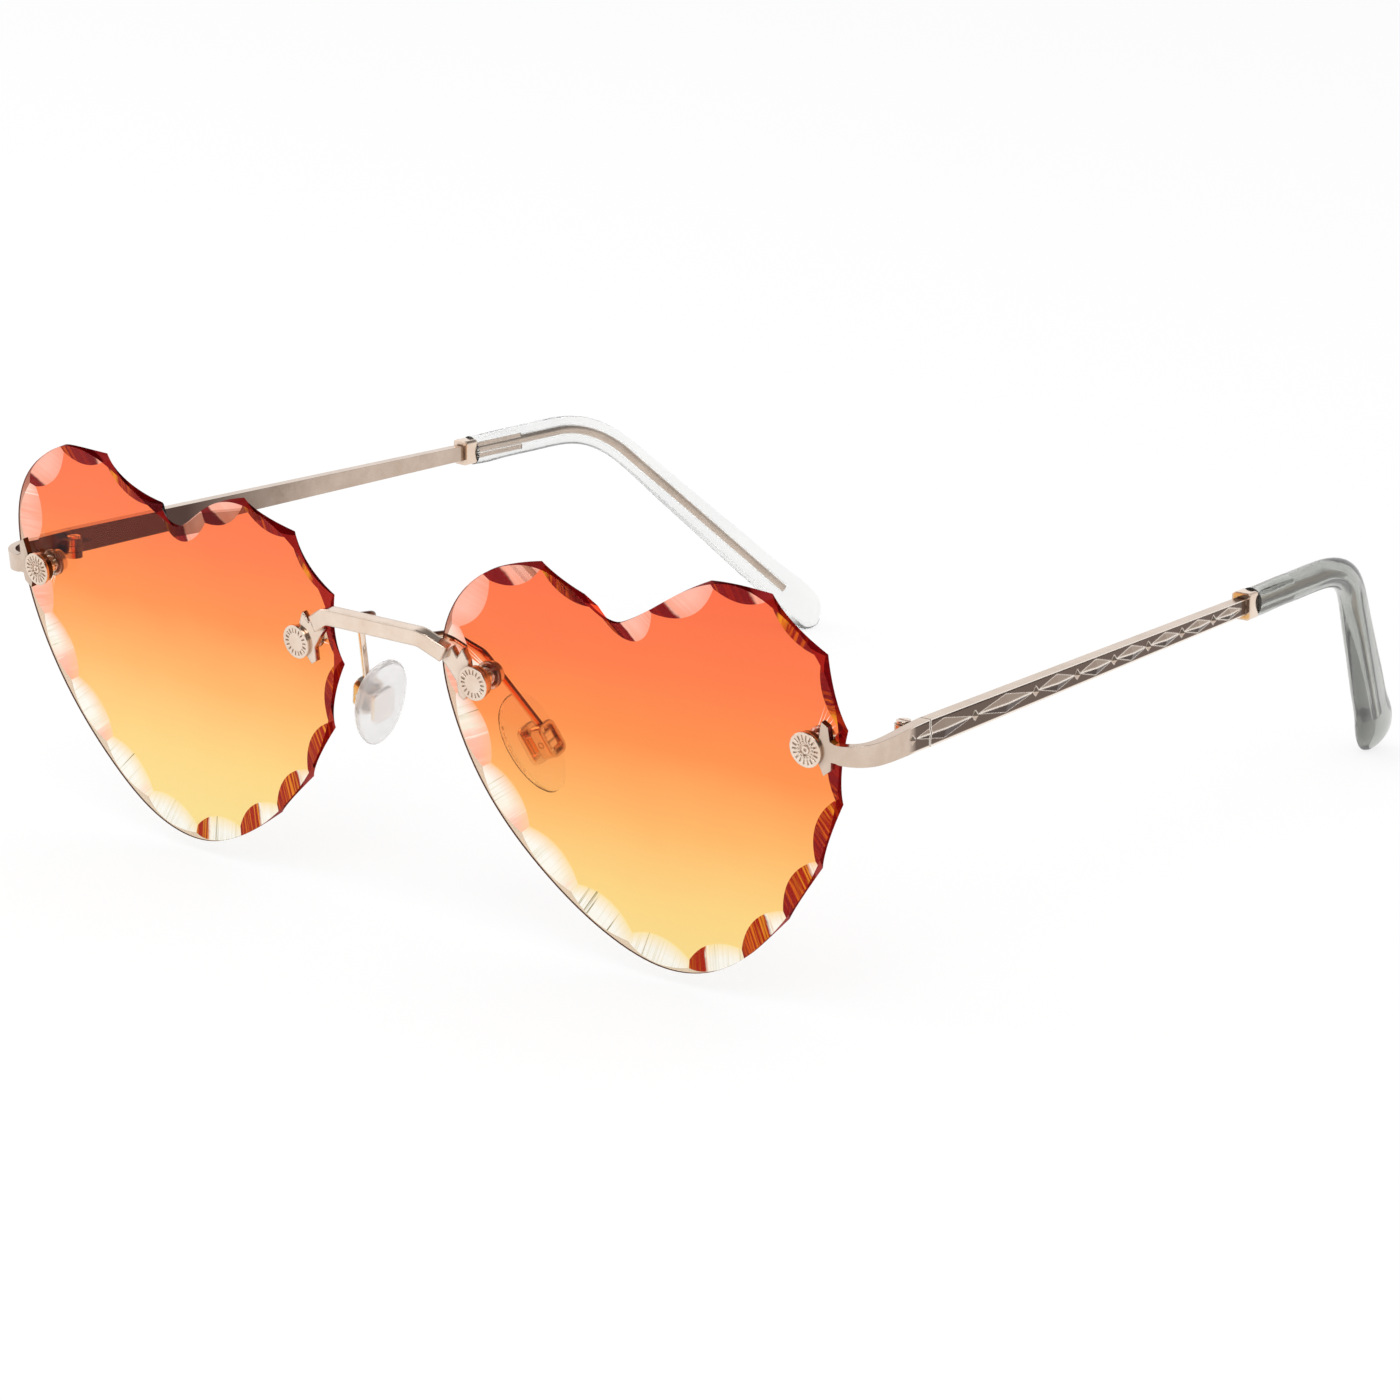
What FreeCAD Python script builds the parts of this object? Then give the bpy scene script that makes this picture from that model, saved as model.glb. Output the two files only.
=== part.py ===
import FreeCAD, Part
import math
import os

from FreeCAD import Matrix, Placement, Rotation, Vector

# Rimless heart sunglasses. Millimetres, +Z up, +X to the wearer's left, -Y to the front.
# The origin lies between the lenses, level with the outer lens holes on the lens front face.

# Lenses: flat hearts with a ring of ground scallops on the rear edge
lens_width = 57.2
lens_height = 50.0
lens_thick = 2.4
lens_tilt_deg = 7.6
lens_wrap_deg = 2.5
heart_shares = [
    (-0.021, 0.354), (0.100, 0.430), (0.205, 0.488), (0.285, 0.498), (0.365, 0.464), (0.449, 0.384),
    (0.490, 0.290), (0.500, 0.170), (0.472, -0.010), (0.395, -0.198), (0.287, -0.352),
    (0.159, -0.464), (0.026, -0.498), (-0.124, -0.450), (-0.278, -0.330), (-0.416, -0.150),
    (-0.488, 0.048), (-0.498, 0.202), (-0.442, 0.336), (-0.337, 0.426), (-0.236, 0.450),
    (-0.124, 0.402),
]
facet_count = 19
facet_inset = 2.8
facet_wall = 0.55
facet_radius = 13.0
cleft_facet_radius = 5.0

# Lens fixings: rosette screw, bushing in the lens, washer and dome nut behind it
outer_hole_inset = 3.9
inner_hole_inset = 5.3
outer_hole_drop = 17.5
inner_hole_drop = 0.7
hole_span = lens_width - outer_hole_inset - inner_hole_inset
nose_gap = 18.1
outer_hole_reach = (lens_width - outer_hole_inset) * math.cos(math.radians(lens_wrap_deg))
outer_hole_x = nose_gap / 2 + outer_hole_reach
shaft_dia = 1.3
bushing_dia = 2.2
head_dia = 4.2
head_thick = 0.4
washer_dia = 3.4
washer_thick = 0.4
nut_dia = 2.8
nut_height = 0.9
dome_height = 0.5
notch_count = 18
notch_inner_share = 0.56
notch_outer_share = 0.84
notch_width = 0.2
notch_depth = 0.2
boss_dia = 1.5
boss_ring = 0.25

# Star plates on the lens front and the bridge between them
plate_thick = 0.8
eye_dia = 3.8
star_span = 6.4
end_star_shares = [
    (0.23, -0.25), (0.31, -0.45), (0.47, -0.33), (0.49, -0.17), (0.62, -0.17),
    (0.62, 0.17), (0.50, 0.22), (0.48, 0.48), (0.35, 0.56), (0.28, 0.27),
]
bridge_star_shares = [
    (-0.10, -0.13), (-0.31, -0.40), (-0.42, -0.33), (-0.43, -0.05), (-0.58, 0.15),
    (-0.75, 0.35), (-0.48, 0.62), (-0.37, 0.42), (-0.22, 0.62), (-0.11, 0.40),
]
bar_height = 2.0
bar_thick = 1.5
bar_rise = 3.9
bar_half_run = 7.6
bar_lead = 1.0
bar_turn = 2.0

# Endpieces: strips that turn round the lens edge and run back to the hinges
strip_height = 2.3
strip_start = 3.9
strip_lead = 5.0
strip_tail = 7.0
turn_stations = 7
butt_y = 11.7
butt_gap = 0.12

# Hinges: two outer knuckles on the endpiece, one between them on the temple
hinge_out = 4.7
hinge_x = outer_hole_x + hinge_out
hinge_y = 10.5
hinge_z = -0.05
barrel_dia = 2.1
knuckle_height = 0.78
knuckle_gap = 0.06
hinge_pin_dia = 1.0
hinge_head_dia = 1.7
hinge_head_thick = 0.4
hinge_slot_width = 0.3
hinge_slot_depth = 0.2
lug_reach = 1.1
lug_root = 0.2
lug_back = 3.4

# Temples: tapered bars with raised lozenges and small studs on the outer face
temple_out = 6.8
temple_x = outer_hole_x + temple_out
temple_z = 0.3
temple_thick = 1.4
temple_front_height = 3.2
temple_rear_height = 2.0
temple_close = 4.1
collar_x = temple_x - temple_close
collar_y = 80.2
stud_ys = [8.2, 20.7, 33.2, 42.0, 50.0, 57.6, 65.2, 72.5]
stud_half = 0.55
stud_rise = 0.45
lozenge_rise = 0.35
lozenge_height_share = 0.74
lozenge_gap = 0.5
relief_root = 0.06
collar_length = 2.0
collar_height = 3.4
collar_thick = 2.6
core_strip_length = 9.0
core_strip_height = 1.9
core_strip_thick = 1.0
core_dia = 1.3

# Temple tips: clear sleeves over the cores, bent behind the ear
tip_corner_run = 24.0
tip_leg = 49.0
tip_drop_deg = 42.5
tip_inward_deg = 24.5
tip_bend_radius = 17.0
tip_root_height = 4.0
tip_root_thick = 3.4
tip_paddle_height = 6.6
tip_paddle_thick = 3.0
tip_core_margin = 8.0
tip_end_shares = [1.0, 0.93, 0.74, 0.36]
tip_end_step = 0.9
tip_station_count = 6

# Nose pads on wire arms
arm_dia = 0.9
arm_start_x = 6.5
arm_start_y = -4.3
arm_start_z = 3.6
arm_back_x = 6.7
arm_back_y = 2.6
arm_back_z = 2.8
arm_apex_x = 10.4
arm_apex_y = 3.8
arm_apex_z = 1.0
arm_bend = 1.6
pad_box_x = 15.2
pad_box_y = 9.6
pad_box_z = -10.0
pad_long_shares = (0.35, 0.30, -0.89)
pad_face_shares = (-0.931, 0.0, -0.366)
pad_box_length = 4.4
pad_box_width = 3.0
pad_box_depth = 1.6
pad_box_wall = 0.45
pad_box_corner = 1.0
pad_length = 13.0
pad_width = 8.0
pad_thick = 2.4
pad_edge = 0.8
pad_stand_off = 0.6
core_plate_length = 5.0
core_plate_width = 3.2
core_plate_thick = 0.6
stem_length = 2.2
stem_width = 1.5
stem_rim = 0.15
pad_pin_dia = 0.7
pad_pin_head_dia = 1.1
pad_pin_head_thick = 0.3

# Fits
clearance = 0.05
overrun = 2.0

side_axis = Vector(1, 0, 0)
front_axis = Vector(0, 1, 0)
up_axis = Vector(0, 0, 1)
origin = Vector(0, 0, 0)


def frame_at(base, x_dir, y_dir, z_dir):
    """Placement that carries a local shape to a base point and three directions."""
    m = Matrix(
        x_dir.x, y_dir.x, z_dir.x, base.x,
        x_dir.y, y_dir.y, z_dir.y, base.y,
        x_dir.z, y_dir.z, z_dir.z, base.z,
        0, 0, 0, 1,
    )
    return Placement(m)


def lens_frame():
    """Lens axes: along the lens outward, up the lens, and out of its front face."""
    turn = Rotation(up_axis, lens_wrap_deg) * Rotation(side_axis, 90 + lens_tilt_deg)
    return Placement(Vector(outer_hole_x, 0, 0), turn)


def temple_frame():
    """Temple axes from the butt line: outward, back along the bar, and up."""
    lean = math.degrees(math.atan2(temple_x - collar_x, collar_y - butt_y))
    return Placement(Vector(temple_x, butt_y, temple_z), Rotation(up_axis, lean))


def temple_run():
    return math.hypot(temple_x - collar_x, collar_y - butt_y)


def pad_frame():
    """Pad axes: across the pad, along it towards its lower end, and towards the nose."""
    face = Vector(*pad_face_shares).normalize()
    long_dir = Vector(*pad_long_shares)
    long_dir = (long_dir - face * long_dir.dot(face)).normalize()
    across = long_dir.cross(face)
    return frame_at(Vector(pad_box_x, pad_box_y, pad_box_z), across, long_dir, face)


def placed(shape, placement):
    out = shape.copy()
    out.Placement = placement.multiply(out.Placement)
    return out


def mirrored(shape):
    return shape.mirror(origin, side_axis)


def prism(points, low, high):
    """Straight solid over a flat outline between two levels."""
    base = [Vector(x, y, low) for x, y in points]
    face = Part.Face(Part.makePolygon(base + base[:1]))
    return face.extrude(Vector(0, 0, high - low))


def block(x_size, y_size, z_size, centre):
    corner = centre - Vector(x_size / 2, y_size / 2, z_size / 2)
    return Part.makeBox(x_size, y_size, z_size, corner)


def rod(dia, low, high, x=0, y=0):
    """Upright cylinder between two levels."""
    return Part.makeCylinder(dia / 2, high - low, Vector(x, y, low), up_axis)


def rounded_block(length, width, corner, low, high):
    """Upright block with round corners, its long side along Y."""
    body = block(width, length, high - low, Vector(0, 0, (low + high) / 2))
    upright = [e for e in body.Edges if abs(e.tangentAt(e.FirstParameter).z) > 0.5]
    return body.makeFillet(corner, upright)


def rounded_path(points, radius):
    """Wire through the points with its corners turned on one radius."""
    edges = []
    last = points[0]
    for before, corner, after in zip(points, points[1:], points[2:]):
        d_in = (corner - before).normalize()
        d_out = (after - corner).normalize()
        turn = d_in.getAngle(d_out)
        reach = radius * math.tan(turn / 2)
        start = corner - d_in * reach
        end = corner + d_out * reach
        bisector = (d_out - d_in).normalize()
        middle = corner + bisector * (radius / math.cos(turn / 2) - radius)
        edges.append(Part.makeLine(last, start))
        edges.append(Part.Arc(start, middle, end).toShape())
        last = end
    edges.append(Part.makeLine(last, points[-1]))
    return Part.Wire(edges)


def wire_rod(points, radius, dia):
    """Round wire along a path with rounded corners."""
    path = rounded_path(points, radius)
    circle = Part.Circle(points[0], points[1] - points[0], dia / 2).toShape()
    return path.makePipeShell([Part.Wire([circle])], True, False)


def heart_edge():
    """Closed lens outline in the lens frame, from the cleft round by the outer lobe."""
    mid_u = outer_hole_inset - lens_width / 2
    mid_v = outer_hole_drop - lens_height / 2
    points = [Vector(mid_u + x * lens_width, mid_v + y * lens_height, 0) for x, y in heart_shares]
    curve = Part.BSplineCurve()
    curve.interpolate(points, True)
    return curve.toShape()


def scallop(edge, index):
    """Round-nosed grinding cut for one facet on the rear edge; the first lies in the cleft."""
    radius = facet_radius if index else cleft_facet_radius
    at = edge.getParameterByLength(edge.Length * index / facet_count)
    point = edge.valueAt(at)
    inward = edge.tangentAt(at).cross(up_axis)
    foot = point - up_axis * facet_wall
    top = point + inward * facet_inset - up_axis * lens_thick
    run = (top - foot).normalize()
    away = run.cross(edge.tangentAt(at)).normalize()
    if away.z > 0:
        away = away * -1
    reach = facet_inset + overrun
    centre = foot + away * radius - run * reach
    wheel = rod(radius * 2, 0, reach * 3)
    return placed(wheel, frame_at(centre, away, run.cross(away), run))


def inner_hole():
    return (-hole_span, -inner_hole_drop)


def make_lens():
    edge = heart_edge()
    body = Part.Face(Part.Wire([edge])).extrude(Vector(0, 0, -lens_thick))
    cuts = [scallop(edge, i) for i in range(facet_count)]
    for u, v in [(0, 0), inner_hole()]:
        cuts.append(rod(bushing_dia, -lens_thick - overrun, overrun, u, v))
    ground = body.cut(cuts)
    return max(ground.Solids, key=lambda solid: solid.Volume)


def star_plate(shares, u, v):
    """Star-armed plate with a round eye for its screw, on the lens front face."""
    points = [(u + x * star_span, v + y * star_span) for x, y in shares]
    plate = prism(points, 0, plate_thick).fuse(rod(eye_dia, 0, plate_thick, u, v))
    hole = rod(shaft_dia + clearance, -overrun, plate_thick + overrun, u, v)
    return plate.cut(hole).removeSplitter()


def rosette(with_boss):
    """Lens screw with a ring of radial notches round its flat head."""
    seat = plate_thick
    tail = lens_thick + washer_thick + nut_height
    body = rod(head_dia, seat, seat + head_thick).fuse(rod(shaft_dia, -tail, seat))
    radius = head_dia / 2
    notch_length = radius * (notch_outer_share - notch_inner_share)
    notch_mid = radius * (notch_outer_share + notch_inner_share) / 2
    notch_z = seat + head_thick
    cuts = []
    for i in range(notch_count):
        notch = block(notch_length, notch_width, notch_depth * 2, Vector(notch_mid, 0, notch_z))
        notch.rotate(origin, up_axis, 360 * i / notch_count)
        cuts.append(notch)
    if with_boss:
        ring = rod(boss_dia, notch_z - notch_depth, notch_z + overrun)
        cuts.append(ring.cut(rod(boss_dia - boss_ring * 2, -overrun, notch_z + overrun)))
        cuts.append(rod(notch_width * 2, notch_z - notch_depth, notch_z + overrun))
    return body.cut(cuts)


def bushing():
    sleeve = rod(bushing_dia - clearance, -lens_thick, 0)
    return sleeve.cut(rod(shaft_dia + clearance, -lens_thick - overrun, overrun))


def washer():
    rear = -lens_thick - washer_thick
    disc = rod(washer_dia, rear, -lens_thick)
    return disc.cut(rod(shaft_dia + clearance, rear - overrun, overrun))


def dome_nut():
    seat = -lens_thick - washer_thick
    rear = seat - nut_height
    body = rod(nut_dia, rear, seat)
    radius = (nut_dia * nut_dia / 4 + dome_height * dome_height) / (2 * dome_height)
    ball = Part.makeSphere(radius, Vector(0, 0, rear - dome_height + radius))
    cap = ball.common(rod(nut_dia, rear - dome_height - overrun, rear))
    return body.fuse(cap).cut(rod(shaft_dia + clearance, rear, overrun)).removeSplitter()


def make_bridge():
    """Saddle bar with a star plate at each end, one stamping."""
    frame = lens_frame()
    u, v = inner_hole()
    plate = placed(star_plate(bridge_star_shares, u, v), frame)
    neck = [Vector(x, y, 0) * star_span for x, y in bridge_star_shares[5:7]]
    lift = bar_thick / 2 + clearance * 3
    foot = frame.multVec((neck[0] + neck[1]) / 2 + Vector(u, v, lift))
    top = Vector(bar_half_run, foot.y - bar_lead, bar_rise)
    far_top = Vector(-top.x, top.y, top.z)
    far_foot = Vector(-foot.x, foot.y, foot.z)
    path = rounded_path([foot, top, far_top, far_foot], bar_turn)
    run = (top - foot).normalize()
    tall = run.cross(front_axis).normalize()
    deep = tall.cross(run).normalize()
    section = rectangle(foot, tall * bar_height, deep * bar_thick)
    bar = path.makePipeShell([section], True, False, 1)
    return plate.fuse([bar, mirrored(plate)]).removeSplitter()


def rectangle(centre, side, rise):
    """Closed rectangular wire from its centre and its two full sides."""
    corners = [centre + side * a / 2 + rise * b / 2 for a, b in [(-1, -1), (1, -1), (1, 1), (-1, 1)]]
    return Part.makePolygon(corners + corners[:1])


def strip_arm():
    """Strip from the star plate round the lens edge to the butt line of the temple."""
    lens = lens_frame()
    bar = temple_frame()
    start = lens.multVec(Vector(strip_start, 0, plate_thick / 2))
    end = bar.multVec(Vector(0, -butt_gap / 2, 0))
    near = start + lens.Rotation.multVec(side_axis) * strip_lead
    far = end - bar.Rotation.multVec(front_axis) * strip_tail
    lens_up = lens.Rotation.multVec(front_axis)
    curve = Part.BezierCurve()
    curve.setPoles([start, near, far, end])
    sections = []
    for i in range(turn_stations):
        share = i / (turn_stations - 1)
        tangent = curve.tangent(share)[0]
        tall = (lens_up * (1 - share) + up_axis * share).normalize()
        deep = tangent.cross(tall).normalize()
        tall = deep.cross(tangent).normalize()
        height = strip_height + (temple_front_height - strip_height) * share
        thick = plate_thick + (temple_thick - plate_thick) * share
        sections.append(rectangle(curve.value(share), deep * thick, tall * height))
    return Part.makeLoft(sections, True, False)


def pyramid(half_length, half_height, rise, y, x):
    """Four-sided raised lozenge on the outer face of the temple, in the temple frame."""
    base = x - relief_root
    flare = (rise + relief_root) / rise
    half_length = half_length * flare
    half_height = half_height * flare
    low = [Vector(base, y - half_length, 0), Vector(base, y, half_height)]
    low += [Vector(base, y + half_length, 0), Vector(base, y, -half_height)]
    peak = Vector(x + rise, y, 0)
    faces = [Part.Face(Part.makePolygon(low + low[:1]))]
    for a, b in zip(low, low[1:] + low[:1]):
        faces.append(Part.Face(Part.makePolygon([a, b, peak, a])))
    return Part.makeSolid(Part.makeShell(faces))


def bar_height_at(run):
    share = max(run, 0) / temple_run()
    return temple_front_height + (temple_rear_height - temple_front_height) * share


def relief():
    """Lozenges and studs along the outer face, in the temple frame."""
    lean = temple_run() / (collar_y - butt_y)
    runs = [(y - butt_y) * lean for y in stud_ys]
    face_x = temple_thick / 2
    raised = [pyramid(stud_half, stud_half, stud_rise, y, face_x) for y in runs]
    for near, far in zip(runs, runs[1:] + [temple_run() - lozenge_gap]):
        middle = (near + far) / 2
        half_height = bar_height_at(middle) * lozenge_height_share / 2
        raised.append(pyramid((far - near) / 2 - lozenge_gap, half_height, lozenge_rise, middle, face_x))
    return raised


def beside_butt(shapes, front):
    """The share of the relief in front of the butt line, or behind it."""
    reach = temple_run() + overrun
    start = -reach - butt_gap / 2 if front else butt_gap / 2
    box = Part.makeBox(reach, reach, reach, Vector(-reach / 2, start, -reach / 2))
    kept = [shape.common(box) for shape in shapes]
    return [shape for shape in kept if shape.Solids]


def knuckle(level):
    """One hinge knuckle: 0 at the bottom, 1 in the middle, 2 on top."""
    pitch = knuckle_height + knuckle_gap
    low = hinge_z + (level - 1) * pitch - knuckle_height / 2
    return low, low + knuckle_height


def pin_hole():
    reach = temple_front_height
    return rod(hinge_pin_dia + clearance, hinge_z - reach, hinge_z + reach, hinge_x, hinge_y)


def make_endpiece():
    """Star plate, strip round the lens edge and the two outer hinge knuckles."""
    plate = placed(star_plate(end_star_shares, 0, 0), lens_frame())
    pieces = [strip_arm()]
    pieces += [placed(shape, temple_frame()) for shape in beside_butt(relief(), True)]
    inner_x = temple_x - temple_thick / 2 + lug_root
    for level in (0, 2):
        low, high = knuckle(level)
        pieces.append(rod(barrel_dia, low, high, hinge_x, hinge_y))
        corner = Vector(hinge_x, hinge_y - barrel_dia / 2, low)
        pieces.append(Part.makeBox(inner_x - hinge_x, barrel_dia / 2, high - low, corner))
    return plate.fuse(pieces).cut(pin_hole()).removeSplitter()


def make_hinge_screw():
    bottom = knuckle(0)[0]
    seat = knuckle(2)[1]
    top = seat + hinge_head_thick
    body = rod(hinge_pin_dia, bottom, seat).fuse(rod(hinge_head_dia, seat, top))
    slot = block(hinge_head_dia * 2, hinge_slot_width, hinge_slot_depth * 2, Vector(0, 0, top))
    screw = body.cut(slot)
    screw.translate(Vector(hinge_x, hinge_y, 0))
    return screw


def core_path():
    """Centre line behind the bar: from its rear end back, round the bend and down."""
    frame = temple_frame()
    start = frame.multVec(Vector(0, temple_run(), 0))
    corner = frame.multVec(Vector(0, temple_run() + collar_length + tip_corner_run, 0))
    drop = math.radians(tip_drop_deg)
    inward = math.radians(tip_inward_deg)
    flat = math.cos(drop)
    leg = Vector(-math.sin(inward) * flat, math.cos(inward) * flat, -math.sin(drop))
    return start, corner, leg


def core_shape(gap):
    """Flat strip and then round wire inside the temple tip, grown by a gap for the bore."""
    start, corner, leg = core_path()
    end = corner + leg * (tip_leg - tip_core_margin + gap)
    wire = wire_rod([start, corner, end], tip_bend_radius, core_dia + gap * 2)
    length = collar_length + core_strip_length + gap
    middle = Vector(0, temple_run() + length / 2, 0)
    strip = block(core_strip_thick + gap * 2, length, core_strip_height + gap * 2, middle)
    return placed(strip, temple_frame()).fuse(wire)


def make_temple_bar():
    """Tapered bar with its relief, its hinge knuckle and the core for the tip."""
    frame = temple_frame()
    sections = []
    for run in (butt_gap / 2, temple_run()):
        rise = up_axis * bar_height_at(run)
        sections.append(rectangle(Vector(0, run, 0), side_axis * temple_thick, rise))
    bar = Part.makeLoft(sections, True, True)
    pieces = [placed(shape, frame) for shape in beside_butt(relief(), False)]
    low, high = knuckle(1)
    pieces.append(rod(barrel_dia, low, high, hinge_x, hinge_y))
    pieces.append(Part.makeBox(lug_reach, lug_back, high - low, Vector(hinge_x, hinge_y, low)))
    joint = Vector(hinge_x, butt_y + lug_root, low)
    depth = hinge_y + lug_back - joint.y
    pieces.append(Part.makeBox(temple_x - hinge_x, depth, high - low, joint))
    pieces.append(core_shape(0))
    return placed(bar, frame).fuse(pieces).cut(pin_hole()).removeSplitter()


def make_collar():
    middle = Vector(0, temple_run() + collar_length / 2, 0)
    body = block(collar_thick, collar_length, collar_height, middle)
    edges = [e for e in body.Edges if abs(e.tangentAt(e.FirstParameter).y) > 0.5]
    body = placed(body.makeFillet(core_strip_thick / 2, edges), temple_frame())
    return body.cut(core_shape(clearance))


def tip_section(point, tangent, side, height, thick):
    ellipse = Part.Wire([Part.Ellipse(origin, height / 2, thick / 2).toShape()])
    return placed(ellipse, frame_at(point, side.cross(tangent).normalize(), side, tangent))


def make_tip():
    """Sleeve over the core: oval at the collar, a wider paddle at its rounded end."""
    start, corner, leg = core_path()
    run = (corner - start).normalize()
    side = run.cross(leg).normalize()
    end = corner + leg * tip_leg
    path = rounded_path([start + run * collar_length, corner, end], tip_bend_radius)
    last = path.Edges[-1]
    dome = tip_end_step * (len(tip_end_shares) - 1)
    sections = []
    for edge in path.Edges[:-1]:
        for i in range(tip_station_count // 2):
            at = edge.getParameterByLength(edge.Length * i / (tip_station_count // 2))
            point = edge.valueAt(at)
            tangent = edge.tangentAt(at)
            sections.append(tip_section(point, tangent, side, tip_root_height, tip_root_thick))
    for i in range(tip_station_count):
        share = i / tip_station_count
        at = last.valueAt(last.getParameterByLength((last.Length - dome) * share))
        height = tip_root_height + (tip_paddle_height - tip_root_height) * share
        thick = tip_root_thick + (tip_paddle_thick - tip_root_thick) * share
        sections.append(tip_section(at, leg, side, height, thick))
    for i, share in enumerate(tip_end_shares):
        at = end - leg * (dome - tip_end_step * i)
        sections.append(tip_section(at, leg, side, tip_paddle_height * share, tip_paddle_thick * share))
    return Part.makeLoft(sections, True, False).cut(core_shape(clearance))


def pad_levels():
    """Levels along the pad axis: rim of the box, rear of the pad and face of the pad."""
    rim = pad_box_depth / 2
    rear = rim + pad_stand_off
    return rim, rear, rear + pad_thick


def make_pad_box():
    """Small open frame on the arm that takes the stem of the pad."""
    rim = pad_levels()[0]
    body = rounded_block(pad_box_length, pad_box_width, pad_box_corner, -rim, rim)
    hollow = rounded_block(
        pad_box_length - pad_box_wall * 2, pad_box_width - pad_box_wall * 2, pad_box_corner - pad_box_wall,
        -rim - overrun, rim + overrun,
    )
    return placed(body.cut([hollow, pad_pin(pad_pin_dia + clearance)]), pad_frame())


def pad_pin(dia):
    reach = pad_box_width / 2
    return Part.makeCylinder(dia / 2, reach * 2, Vector(-reach, 0, 0), side_axis)


def make_pad_screw():
    head = Vector(pad_box_width / 2, 0, 0)
    cap = Part.makeCylinder(pad_pin_head_dia / 2, pad_pin_head_thick, head, side_axis)
    return placed(pad_pin(pad_pin_dia).fuse(cap), pad_frame())


def pad_core_local():
    """Insert inside the pad: a plate and the stem that reaches into the box."""
    rear = pad_levels()[1]
    middle = rear + pad_thick / 2
    plate = rounded_block(
        core_plate_length, core_plate_width, pad_box_corner,
        middle - core_plate_thick / 2, middle + core_plate_thick / 2,
    )
    low = -pad_pin_dia / 2 - stem_rim
    stem = block(stem_width, stem_length, middle - low, Vector(0, 0, (middle + low) / 2))
    return plate.fuse(stem).cut(pad_pin(pad_pin_dia + clearance)).removeSplitter()


def make_pad():
    """Oval pad with rounded edges, moulded over its insert."""
    rear, face = pad_levels()[1:]
    oval = Part.Ellipse(origin, pad_length / 2, pad_width / 2).toShape()
    oval.rotate(origin, up_axis, 90)
    oval.translate(Vector(0, 0, rear))
    body = Part.Face(Part.Wire([oval])).extrude(Vector(0, 0, face - rear))
    rims = [e for e in body.Edges if len(e.Vertexes) == 1]
    body = body.makeFillet(pad_edge, rims)
    return placed(body.cut(pad_core_local()), pad_frame())


def make_pad_arm():
    """Wire from the rear of the bridge, past the lens edge and down to the box."""
    frame = pad_frame()
    foot = frame.multVec(Vector(0, -pad_box_length / 2 + pad_box_wall / 2, 0))
    start = Vector(arm_start_x, arm_start_y, arm_start_z)
    back = Vector(arm_back_x, arm_back_y, arm_back_z)
    apex = Vector(arm_apex_x, arm_apex_y, arm_apex_z)
    wire = wire_rod([start, back, apex, foot], arm_bend, arm_dia)
    return wire.cut([make_bridge(), make_pad_box()])


def lens_fixings():
    """Screw, nut, bushing and washer for the outer and the inner lens hole."""
    frame = lens_frame()
    out = {}
    for place, (u, v) in (("endpiece", (0, 0)), ("bridge", inner_hole())):
        made = {
            "screw": rosette(place == "endpiece"),
            "nut": dome_nut(),
            "bushing": bushing(),
            "washer": washer(),
        }
        for kind, shape in made.items():
            shape.translate(Vector(u, v, 0))
            out[place + "_" + kind] = placed(shape, frame)
    return out


def one_side():
    """Every piece of the wearer's left side."""
    pieces = {
        "lens": placed(make_lens(), lens_frame()),
        "endpiece": make_endpiece(),
        "hinge_screw": make_hinge_screw(),
        "temple_bar": make_temple_bar(),
        "temple_collar": make_collar(),
        "temple_tip": make_tip(),
        "pad_arm": make_pad_arm(),
        "pad_box": make_pad_box(),
        "pad_screw": make_pad_screw(),
        "pad_core": placed(pad_core_local(), pad_frame()),
        "nose_pad": make_pad(),
    }
    pieces.update(lens_fixings())
    return pieces


os.makedirs("parts", exist_ok=True)
whole = {"bridge": make_bridge()}
for name, shape in one_side().items():
    whole[name + "_left"] = shape
    whole[name + "_right"] = mirrored(shape)
for name, shape in whole.items():
    solids = shape.Solids
    print(name, shape.isValid(), len(solids), round(shape.Volume, 2))
    solids[0].exportStep("parts/" + name + ".step")
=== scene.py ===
import math

import bmesh
import bpy
import numpy as np
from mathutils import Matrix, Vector


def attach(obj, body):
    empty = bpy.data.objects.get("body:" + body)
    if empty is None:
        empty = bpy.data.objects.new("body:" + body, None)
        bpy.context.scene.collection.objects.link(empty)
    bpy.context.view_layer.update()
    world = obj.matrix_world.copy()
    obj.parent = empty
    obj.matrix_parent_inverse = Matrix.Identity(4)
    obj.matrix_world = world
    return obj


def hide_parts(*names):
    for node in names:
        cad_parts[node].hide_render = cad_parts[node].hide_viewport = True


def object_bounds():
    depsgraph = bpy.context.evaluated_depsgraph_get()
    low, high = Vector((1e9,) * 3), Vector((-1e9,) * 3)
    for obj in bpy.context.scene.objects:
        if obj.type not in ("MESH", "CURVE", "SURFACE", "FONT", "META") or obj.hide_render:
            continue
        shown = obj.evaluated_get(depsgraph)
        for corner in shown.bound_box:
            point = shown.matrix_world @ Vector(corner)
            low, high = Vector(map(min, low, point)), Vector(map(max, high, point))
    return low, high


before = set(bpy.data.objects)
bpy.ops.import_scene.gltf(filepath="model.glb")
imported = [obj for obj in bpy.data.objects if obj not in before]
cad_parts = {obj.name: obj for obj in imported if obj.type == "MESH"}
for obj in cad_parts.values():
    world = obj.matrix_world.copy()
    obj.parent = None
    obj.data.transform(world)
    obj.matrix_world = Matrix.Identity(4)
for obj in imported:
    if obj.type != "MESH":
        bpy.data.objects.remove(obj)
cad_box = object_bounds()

# Lengths are in metres: +X is the wearer's left, -Y the front and +Z up
MM = 0.001
SIDES = {"left": 1, "right": -1}
WHITE = (1.0, 1.0, 1.0, 1.0)
scene = bpy.context.scene

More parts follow.
